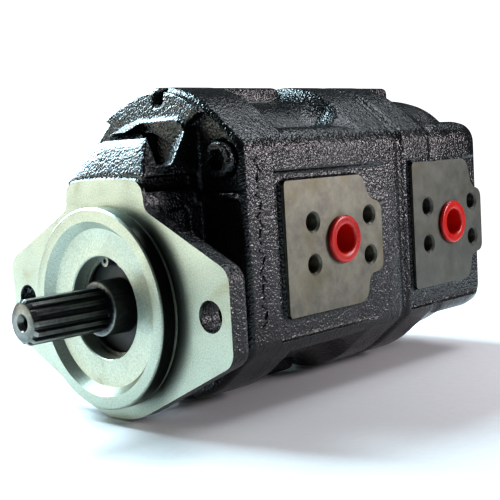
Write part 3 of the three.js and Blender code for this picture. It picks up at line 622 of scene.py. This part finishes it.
def housing_bare(centre, normal):
    """The port pads, what is drilled in them, and the joint faces."""
    pad = np.zeros(len(centre), bool)
    for y, reach, rear, top in ((PORT_Y[0], 45, 35.5, 58.3), (PORT_Y[1], 38.5, 36, 62)):
        along = (centre[:, 1] > y - reach - 0.6) & (centre[:, 1] < y + rear)
        pad |= along & (centre[:, 2] > -13.5) & (centre[:, 2] < top)
    pad &= (centre[:, 0] > HALF_WIDTH - 0.06) & (normal[:, 0] > 0.9)
    inlet = (centre[:, 0] < -HALF_WIDTH + 0.06) & (normal[:, 0] < -0.9)
    drilled = np.zeros(len(centre), bool)
    for y in PORT_Y:
        for port in (OUTLET, INLET):
            side = centre[:, 0] * port["side"] > 25
            drilled |= side & (np.hypot(centre[:, 1] - y, centre[:, 2] - PORT_Z) < port["bore"] + 1)
            for sy, sz in CORNERS:
                hole_y, hole_z = y + sy * port["bolt_y"], PORT_Z + sz * port["bolt_z"]
                off = np.hypot(centre[:, 1] - hole_y, centre[:, 2] - hole_z)
                drilled |= side & (off < port["thread"] + 1.6)
    return pad | inlet | drilled | ((np.abs(normal[:, 1]) > 0.98) & (centre[:, 1] < REAR_DOME))


FRONT_STATIONS = [(SEAM_1 - stock, 0, 0), (SEAM_1 + 1.5, 0, 0), (73, 0, 0)]
FRONT_STATIONS += [(73 + 5 * t, smooth_step(t), 0) for t in (0.2, 0.4, 0.6, 0.8, 1)]
FRONT_STATIONS += [(118 + 20 * t, 1 - t ** 1.8, 0) for t in (0, 0.15, 0.3, 0.45, 0.6, 0.75, 0.9, 1)]
FRONT_STATIONS += [(163, 0, 0), (165, 0, 0.5), (166.4, 0, 1.5), (SEAM_2 + stock, 0, 2.6)]
REAR_STATIONS = [(SEAM_2 - stock, 0, 2.6), (170, 0, 1.5), (171.5, 0, 0.5), (173.5, 0, 0), (196.6, 0, 0)]
REAR_STATIONS += [(198, 0, 0.8), (199.5, 0, 1), (204, 0.5, 0.5), (208, 1, 0), (238, 1, 0), (241.5, 1, 0.35)]
REAR_STATIONS += [
    (REAR_FACE - REAR_ROUND + REAR_ROUND * math.sin(a), 1, 12 * (1 - math.cos(a)))
    for a in (0.5, 0.8, 1.05, 1.25, 1.42, 1.57)
]

for section, (name, node, stations, shoulder, recess, pad, cuts) in enumerate((
    ("front_housing_casting", "front_gear_housing", FRONT_STATIONS, (70, 131), (SEAM_1 - 5, 126, 34),
     (PORT_Y[0], 45, 57.8), (SEAM_1 + JOINT_GAP, SEAM_2 - JOINT_GAP)),
    ("rear_housing_casting", "rear_gear_housing", REAR_STATIONS, (190, 236), (174, 264, 0),
     (PORT_Y[1], 38.5, 61.5), (SEAM_2 + JOINT_GAP, 280)),
)):
    housing = body_skin(name, stations)
    y0, y1 = shoulder
    hump = body_skin("shoulder", [(y0, 0, 0), (y1 - 4, 0, 0), (y1 - 1, 0, 1), (y1, 0, 3)])
    combine(hump, [block("shoulder_side", -80, 3, y0 - 1, y1 + 1, -80, 140)], "INTERSECT")
    combine(housing, [hump], "UNION")
    y0, y1, run = recess
    set_back = skin("set_back", [
        [(HALF_WIDTH - PAD_PROUD, y0, z), (HALF_WIDTH + 4, y0, z), (HALF_WIDTH + 4, y1 + run * 2, z),
         (HALF_WIDTH - PAD_PROUD, y1, z)] for z in (-24, 63)
    ])
    combine(housing, [set_back], "DIFFERENCE")
    combine(housing, [drawn_x("pad", pad_outline(*pad), HALF_WIDTH - 8, HALF_WIDTH + stock)], "UNION")
    cast(housing, grain=0.8, rounds=5)
    combine(housing, [
        block("mill_outlet", HALF_WIDTH, HALF_WIDTH + 20, pad[0] - pad[1] - 1, pad[0] + 37, -14, pad[2] + 1),
        block("mill_inlet", -HALF_WIDTH - 20, -HALF_WIDTH, 0, 300, -120, 150),
        block("mill_front", -90, 90, 0, cuts[0], -120, 150),
        block("mill_rear", -90, 90, cuts[1], 400, -120, 150),
    ], "DIFFERENCE")
    chamber = ((SEAM_1, 157), (SEAM_2, 247))[section]
    bores = [turned("gear_bore", [(0, chamber[0] - 1), (GEAR_BORE, chamber[0] - 1), (GEAR_BORE, chamber[1]),
                                  (0, chamber[1])], z=z) for z in (0, 50)]
    for sx, sz in CORNERS:
        end = (SEAM_2 + 1, 202)[section]
        bores.append(turned("bolt_hole", [(0, chamber[0] - 1), (6.4, chamber[0] - 1), (6.4, end), (0, end)],
                            x=sx * BOLT_X, z=BODY_Z + sz * BOLT_RISE, steps=32))
    if section == 0:
        bores.append(turned("link_hole", [(0, 150), (12, 150), (12, SEAM_2 + 1), (0, SEAM_2 + 1)]))
    for port in (OUTLET, INLET):
        bores += port_cores(port, PORT_Y[section])
    combine(housing, bores, "DIFFERENCE")
    finish_casting(housing, milled[section], housing_bare)
    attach(housing, "pump_body")
    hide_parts(node)


# ---- Input shaft and gears ----
# Case-hardened steel, the spline and the gear cut in one piece and black-oxided, then ground on
# the journals. Handling has rubbed the spline's crests bright.

black_oxide, tree, shader, place = new_material("black oxide steel, rubbed bright")
scuff = add(tree, "ShaderNodeTexNoise", {"Scale": 1000 / 2.2, "Detail": 4.0, "Roughness": 0.6}, Vector=place)
streak = add(tree, "ShaderNodeMapping", {"Scale": (1, 0.12, 1)}, Vector=place)
lines = add(tree, "ShaderNodeTexNoise", {"Scale": 1000 / 0.9, "Detail": 2.0}, Vector=streak.outputs["Vector"])
edge = add(tree, "ShaderNodeNewGeometry").outputs["Pointiness"]
rub = add(tree, "ShaderNodeMapRange", {"From Min": 0.5, "From Max": 0.56}, Value=edge)
blot = add(tree, "ShaderNodeMath", {"operation": "MULTIPLY"},
           i0=rub.outputs["Result"], i1=scuff.outputs["Fac"])
tone = ramp(tree, lines.outputs["Fac"], [(0.3, "#26272a"), (0.7, "#3d3e40")])
worn = add(tree, "ShaderNodeMix", {"data_type": "RGBA"}, i0=blot.outputs[0], i6=tone)
worn.inputs[7].default_value = linear("#b9b7ae")
tree.links.new(worn.outputs[2], shader.inputs["Base Color"])
shader.inputs["Metallic"].default_value = 0.9
rough = add(tree, "ShaderNodeMapRange", {"To Min": 0.22, "To Max": 0.42}, Value=scuff.outputs["Fac"])
tree.links.new(rough.outputs["Result"], shader.inputs["Roughness"])
bump = add(tree, "ShaderNodeBump", {"Strength": 0.3, "Distance": 0.04 * MM}, Height=lines.outputs["Fac"])
tree.links.new(bump.outputs["Normal"], shader.inputs["Normal"])

ground_steel, tree, shader, place = new_material("ground steel")
streak = add(tree, "ShaderNodeMapping", {"Scale": (1, 0.1, 1)}, Vector=place)
lines = add(tree, "ShaderNodeTexNoise", {"Scale": 1000 / 0.7, "Detail": 2.0}, Vector=streak.outputs["Vector"])
tone = ramp(tree, lines.outputs["Fac"], [(0.3, "#a5a8ab"), (0.7, "#c6c8ca")])
tree.links.new(tone, shader.inputs["Base Color"])
shader.inputs["Metallic"].default_value = 1.0
rough = add(tree, "ShaderNodeMapRange", {"To Min": 0.16, "To Max": 0.3}, Value=lines.outputs["Fac"])
tree.links.new(rough.outputs["Result"], shader.inputs["Roughness"])
bump = add(tree, "ShaderNodeBump", {"Strength": 0.2, "Distance": 0.02 * MM}, Height=lines.outputs["Fac"])
tree.links.new(bump.outputs["Normal"], shader.inputs["Normal"])

SHAFT_END = -52.1
SPLINE_TEETH = 13
SPLINE_OUTER = 11.1
SPLINE_ROOT = 9.5
COLLAR_FRONT = -8


def spline_ring(outer, root, teeth, y):
    """One section through the spline: flat crests, sloping flanks and rounded roots."""
    ring = []
    for i in range(teeth):
        pitch = 2 * math.pi / teeth
        for radius, share in (
            (root, -0.4), (root + 0.15, -0.33), (outer - 0.12, -0.215), (outer, -0.18), (outer, 0),
            (outer, 0.18), (outer - 0.12, 0.215), (root + 0.15, 0.33), (root, 0.4), (root - 0.05, 0.5),
        ):
            turn = pitch * (i + share)
            ring.append((radius * math.cos(turn), y, radius * math.sin(turn)))
    return ring


shaft = skin("splined_shaft", [spline_ring(SPLINE_OUTER, SPLINE_ROOT, SPLINE_TEETH, y) for y in
                               (SHAFT_END, -45, -35, -25, -15, COLLAR_FRONT + 1)])
chamfer = turned("chamfer", [
    (0, SHAFT_END), (8.6, SHAFT_END), (9.4, SHAFT_END + 0.25), (11.3, SHAFT_END + 2.1),
    (11.3, COLLAR_FRONT + 1), (0, COLLAR_FRONT + 1),
])
combine(shaft, [chamfer], "INTERSECT")
collar = turned("collar", [
    (0, COLLAR_FRONT - 1), (9.3, COLLAR_FRONT - 1), (9.8, COLLAR_FRONT - 0.4), (13, COLLAR_FRONT - 0.2),
    (13.7, COLLAR_FRONT + 0.2), (14, COLLAR_FRONT + 1), (14, 156), (0, 156),
])
combine(shaft, [collar], "UNION")

# The involute gear: twelve teeth at 25 degrees, thinned a little for backlash.
PITCH_RADIUS = 25
TIP_RADIUS = 28.9
GEAR_ROOT = 20.2
TEETH = 12
PRESSURE_ANGLE = math.radians(25)


def gear_outline(turn):
    """Twelve involute teeth; turn is the angle of the first."""
    base = PITCH_RADIUS * math.cos(PRESSURE_ANGLE)
    half_pitch = (math.pi * PITCH_RADIUS / TEETH - 0.4) / (2 * PITCH_RADIUS)

    def involute(a):
        return math.tan(a) - a

    def half(r):
        return half_pitch + involute(PRESSURE_ANGLE) - involute(math.acos(min(1, base / r)))

    flank = [(GEAR_ROOT, half(base) + 0.03), (base - 1.2, half(base) - 0.01), (base, half(base))]
    flank += [(r, half(r)) for r in (23.4, 24.4, 25.4, 26.4, 27.4, 28.3, TIP_RADIUS)]
    points = []
    for tooth in range(TEETH):
        middle = turn + 2 * math.pi * tooth / TEETH
        for r, a in flank:
            points.append((r * math.cos(middle - a), r * math.sin(middle - a)))
        for r, a in reversed(flank):
            points.append((r * math.cos(middle + a), r * math.sin(middle + a)))
    return points


def gear_on_shaft(name, span, journal, turn, z):
    """A gear with its journals, on an axis along Y."""
    outline = [(x, z + h) for x, h in gear_outline(turn)]
    gear = drawn_y(name, outline, *span)
    ends = turned("journal", [
        (0, journal[0]), (13, journal[0]), (14, journal[0] + 1),
        (14, journal[1] - 1), (13, journal[1]), (0, journal[1]),
    ], z=z)
    return combine(gear, [ends], "UNION")


def finish_steel(thing, material, body, node):
    """Gives a turned or cut piece its material, crisp edges and its place in the frame."""
    thing.data.materials.clear()
    thing.data.materials.append(material)
    thing.data.polygons.foreach_set("use_smooth", np.ones(len(thing.data.polygons), bool))
    thing.data.set_sharp_from_angle(angle=math.radians(30))
    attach(thing, body)
    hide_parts(node)


SPANS = ((91, 127), (193.5, 221.5))
LINK_BORE = 8.7
first_gear = drawn_y("first_gear", gear_outline(math.pi / 2), *SPANS[0])
link_bore = turned("link_bore", [(0, 140), (LINK_BORE, 140), (LINK_BORE, 160), (0, 160)], steps=40)
centre_hole = turned("centre_hole", [
    (0, SHAFT_END - 1), (4.6, SHAFT_END - 1), (4.4, SHAFT_END), (2.6, SHAFT_END + 2.6),
    (2.6, SHAFT_END + 9), (0, SHAFT_END + 11),
])
combine(shaft, [first_gear], "UNION")
combine(shaft, [link_bore, centre_hole], "DIFFERENCE")
finish_steel(shaft, black_oxide, "drive_train", "input_gear_shaft")
rear_gear = gear_on_shaft("rear_drive_gear_cut", SPANS[1], (169, 246), math.pi / 2, 0)
rear_link_bore = turned("link_bore", [
    (0, 160), (LINK_BORE, 160), (LINK_BORE, 188.3), (0, 188.3),
], steps=40)
combine(rear_gear, [rear_link_bore], "DIFFERENCE")
finish_steel(rear_gear, ground_steel, "drive_train", "rear_drive_gear")
for body, node, span, journal in (
    ("front_driven_gear_body", "front_driven_gear", SPANS[0], (62, 156)),
    ("rear_driven_gear_body", "rear_driven_gear", SPANS[1], (169, 246)),
):
    driven = gear_on_shaft(node + "_cut", span, journal, -math.pi / 2 + math.pi / TEETH, 50)
    finish_steel(driven, ground_steel, body, node)


# ---- Port plugs ----
# Push-in shipping plugs, injection moulded in red polyethylene: a thin-walled cup with a rolled
# rim that lies on the port face. The plastic is glossy and lets a little light through.

red_plug, tree, shader, place = new_material("moulded red polyethylene")
flow = add(tree, "ShaderNodeTexNoise", {"Scale": 1000 / 9, "Detail": 2.0, "Roughness": 0.5}, Vector=place)
tone = ramp(tree, flow.outputs["Fac"], [(0.3, "#b5160d"), (0.7, "#c91d12")])
tree.links.new(tone, shader.inputs["Base Color"])
skin_grain = add(tree, "ShaderNodeTexNoise", {"Scale": 1000 / 0.8, "Detail": 2.0}, Vector=place)
rough = add(tree, "ShaderNodeMapRange", {"To Min": 0.22, "To Max": 0.36}, Value=flow.outputs["Fac"])
tree.links.new(rough.outputs["Result"], shader.inputs["Roughness"])
bump = add(tree, "ShaderNodeBump", {"Strength": 0.15, "Distance": 0.03 * MM},
           Height=skin_grain.outputs["Fac"])
tree.links.new(bump.outputs["Normal"], shader.inputs["Normal"])
shader.inputs["IOR"].default_value = 1.51
shader.inputs["Subsurface Weight"].default_value = 0.06
shader.inputs["Subsurface Radius"].default_value = (1.0, 0.2, 0.1)
shader.inputs["Subsurface Scale"].default_value = 0.0015

for section, end in enumerate(("front", "rear")):
    for kind, port, rim in (("outlet", OUTLET, 12.9), ("inlet", INLET, 20)):
        stem = port["bore"] - 0.3
        mouth = port["bore"] - 1.9
        profile = [
            (0, -15), (stem - 1.2, -15), (stem - 0.4, -14.7), (stem, -13.8), (stem, 0.3), (rim - 0.5, 0.3),
            (rim - 0.1, 0.6),
        ]
        profile += [
            (rim - 1.2 + 1.2 * math.cos(a), 1.4 + 1.2 * math.sin(a)) for a in (0, 0.4, 0.8, 1.2, 1.57)
        ]
        profile += [(mouth + 1.3 - 1.3 * math.sin(a), 1.3 + 1.3 * math.cos(a)) for a in (0.2, 0.6, 1.0, 1.4)]
        profile += [(mouth - 0.1, -3), (mouth - 0.6, -12), (mouth - 1.4, -12.9), (0, -13)]
        plug = turned(f"{end}_{kind}_plug_moulding", profile)
        turn_to_x(plug, port["side"], PORT_Y[section], PORT_Z)
        plug.data.materials.append(red_plug)
        plug.data.polygons.foreach_set("use_smooth", np.ones(len(plug.data.polygons), bool))
        plug.data.set_sharp_from_angle(angle=math.radians(50))
        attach(plug, f"{end}_{kind}_plug_body")
        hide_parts(f"{end}_{kind}_plug")


# ---- Tie bolts ----
# Socket-head screws through all three castings, painted over with the pump. Their heads sit in
# spot faces on washers; the sockets have filled with paint at the corners.

for i, (sx, sz) in enumerate(CORNERS):
    x, z = sx * BOLT_X, BODY_Z + sz * BOLT_RISE
    screw = turned(f"tie_bolt_screw_{i + 1}", [
        (0, 34), (7.7, 34), (8.3, 34.15), (8.8, 34.6), (9, 35.2), (9, 42.6), (8.6, 43.2), (6, 43.2),
        (6, 199), (5, 200), (0, 200),
    ], x=x, z=z, steps=64)
    socket = skin("socket", [
        [(x + r * math.cos(a), y, z + r * math.sin(a)) for a in [math.radians(60 * k) for k in range(6)]]
        for y, r in ((33, 6.3), (34, 6.1), (34.5, 5.8), (40, 5.8))
    ])
    combine(screw, [socket], "DIFFERENCE")
    finish_steel(screw, paint, "pump_body", f"tie_bolt_{i + 1}")


# ---- Seals, washers, blocks and bushes ----
# What stays as the CAD made it: the moulded lip seal and its sprung ring at the shaft, and the
# sealed pieces inside the housings, each in the finish of the real part.

nitrile, tree, shader, place = new_material("moulded nitrile rubber")
dust = add(tree, "ShaderNodeTexNoise", {"Scale": 1000 / 3, "Detail": 4.0}, Vector=place)
tone = ramp(tree, dust.outputs["Fac"], [(0.35, "#101112"), (0.7, "#1d1d1c")])
tree.links.new(tone, shader.inputs["Base Color"])
rough = add(tree, "ShaderNodeMapRange", {"To Min": 0.35, "To Max": 0.6}, Value=dust.outputs["Fac"])
tree.links.new(rough.outputs["Result"], shader.inputs["Roughness"])

bronze, tree, shader, place = new_material("bored leaded bronze")
grit = add(tree, "ShaderNodeTexNoise", {"Scale": 1000 / 0.6, "Detail": 3.0}, Vector=place)
tone = ramp(tree, grit.outputs["Fac"], [(0.3, "#9a6a35"), (0.7, "#b98548")])
tree.links.new(tone, shader.inputs["Base Color"])
shader.inputs["Metallic"].default_value = 1.0
shader.inputs["Roughness"].default_value = 0.35

aluminium, tree, shader, place = new_material("machined aluminium")
grit = add(tree, "ShaderNodeTexNoise", {"Scale": 1000 / 0.8, "Detail": 3.0}, Vector=place)
tone = ramp(tree, grit.outputs["Fac"], [(0.3, "#b4b8bb"), (0.7, "#cfd2d4")])
tree.links.new(tone, shader.inputs["Base Color"])
shader.inputs["Metallic"].default_value = 1.0
shader.inputs["Roughness"].default_value = 0.32

for name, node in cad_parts.items():
    if node.hide_render:
        continue
    if "seal" in name and "ring" not in name and "spring" not in name:
        look = nitrile
    elif "bush" in name:
        look = bronze
    elif "block" in name:
        look = aluminium
    elif "ring" in name.split("_")[-1] or "link" in name:
        look = black_oxide
    else:
        look = ground_steel
    node.data.materials.clear()
    node.data.materials.append(look)


# ---- Floor, light and camera ----
# A pale sweep of paper that fades out at its edges, and large soft lamps, as in a product studio.

FLOOR_Z = -58
paper, tree, shader, place = new_material("white paper sweep")
fibre = add(tree, "ShaderNodeTexNoise", {"Scale": 1000 / 3, "Detail": 3.0}, Vector=place)
tone = ramp(tree, fibre.outputs["Fac"], [(0.3, "#f6f7f8"), (0.7, "#fbfbfc")])
tree.links.new(tone, shader.inputs["Base Color"])
shader.inputs["Roughness"].default_value = 0.85
distance = add(tree, "ShaderNodeVectorMath", {"operation": "LENGTH"}, i0=place).outputs["Value"]
fade = add(tree, "ShaderNodeMapRange",
           {"From Min": 0.35, "From Max": 0.75, "To Min": 1.0, "To Max": 0.0}, Value=distance)
tree.links.new(fade.outputs["Result"], shader.inputs["Alpha"])
floor = skin("floor", [[(x * 3000, y * 3000, z) for x, y in ((1, -1), (1, 1), (-1, 1), (-1, -1))]
                       for z in (FLOOR_Z - 4, FLOOR_Z)])
floor.data.materials.append(paper)

# The room is white where the camera looks at it, and dim in what it lights and reflects.
world = bpy.data.worlds.new("studio")
bpy.context.scene.world = world
world.use_nodes = True
room = world.node_tree
room.nodes.clear()
seen = add(room, "ShaderNodeBackground", {"Color": linear("#ffffff"), "Strength": 1.0})
spread = add(room, "ShaderNodeBackground", {"Color": linear("#e6f0f6"), "Strength": 0.08})
ray = add(room, "ShaderNodeLightPath").outputs["Is Camera Ray"]
mixed = add(room, "ShaderNodeMixShader", i0=ray, i1=spread.outputs[0], i2=seen.outputs[0])
add(room, "ShaderNodeOutputWorld", Surface=mixed.outputs[0])


def lamp(name, place, aim, size, power, colour="#ffffff"):
    """A soft box in front of a point of the pump, all in millimetres; power in watts."""
    light = bpy.data.lights.new(name, "AREA")
    light.shape = "RECTANGLE"
    light.size, light.size_y = size[0] * MM, size[1] * MM
    light.energy = power
    light.color = linear(colour)[:3]
    thing = bpy.data.objects.new(name, light)
    bpy.context.scene.collection.objects.link(thing)
    thing.location = Vector(place) * MM
    away = (Vector(place) - Vector(aim)).normalized()
    thing.rotation_euler = away.to_track_quat("Z", "Y").to_euler()


lamp("upper_left", (-620, 40, 640), (0, 70, 40), (540, 540), 22, "#cde9f4")
lamp("left", (-820, 190, 300), (0, 40, 75), (320, 320), 5, "#d6eefa")
lamp("front_left", (-850, -760, 120), (0, 0, 10), (700, 700), 4.2, "#fdfff2")
lamp("overhead", (160, 620, 820), (30, 110, 40), (420, 420), 3, "#f2f9ff")
lamp("right", (440, 445, 160), (60, 50, 30), (110, 170), 1.5, "#fff7fc")

CAMERA_PLACE = (409.55, -314.75, 73.88)
CAMERA_LOOK = (-0.69727, 0.71037, -0.09591)
CAMERA_ROLL = math.radians(-3.35)
camera_data = bpy.data.cameras.new("camera")
camera = bpy.data.objects.new("camera", camera_data)
bpy.context.scene.collection.objects.link(camera)
bpy.context.scene.camera = camera
camera_data.sensor_width = 36
camera_data.lens = 73.8
camera_data.clip_start, camera_data.clip_end = 0.05, 20
camera.location = Vector(CAMERA_PLACE) * MM
camera.rotation_mode = "QUATERNION"
level = Vector(CAMERA_LOOK).to_track_quat("-Z", "Y")
camera.rotation_quaternion = level @ Matrix.Rotation(CAMERA_ROLL, 3, "Z").to_quaternion()

bpy.context.scene.view_settings.view_transform = "Standard"
bpy.context.scene.view_settings.look = "Medium High Contrast"
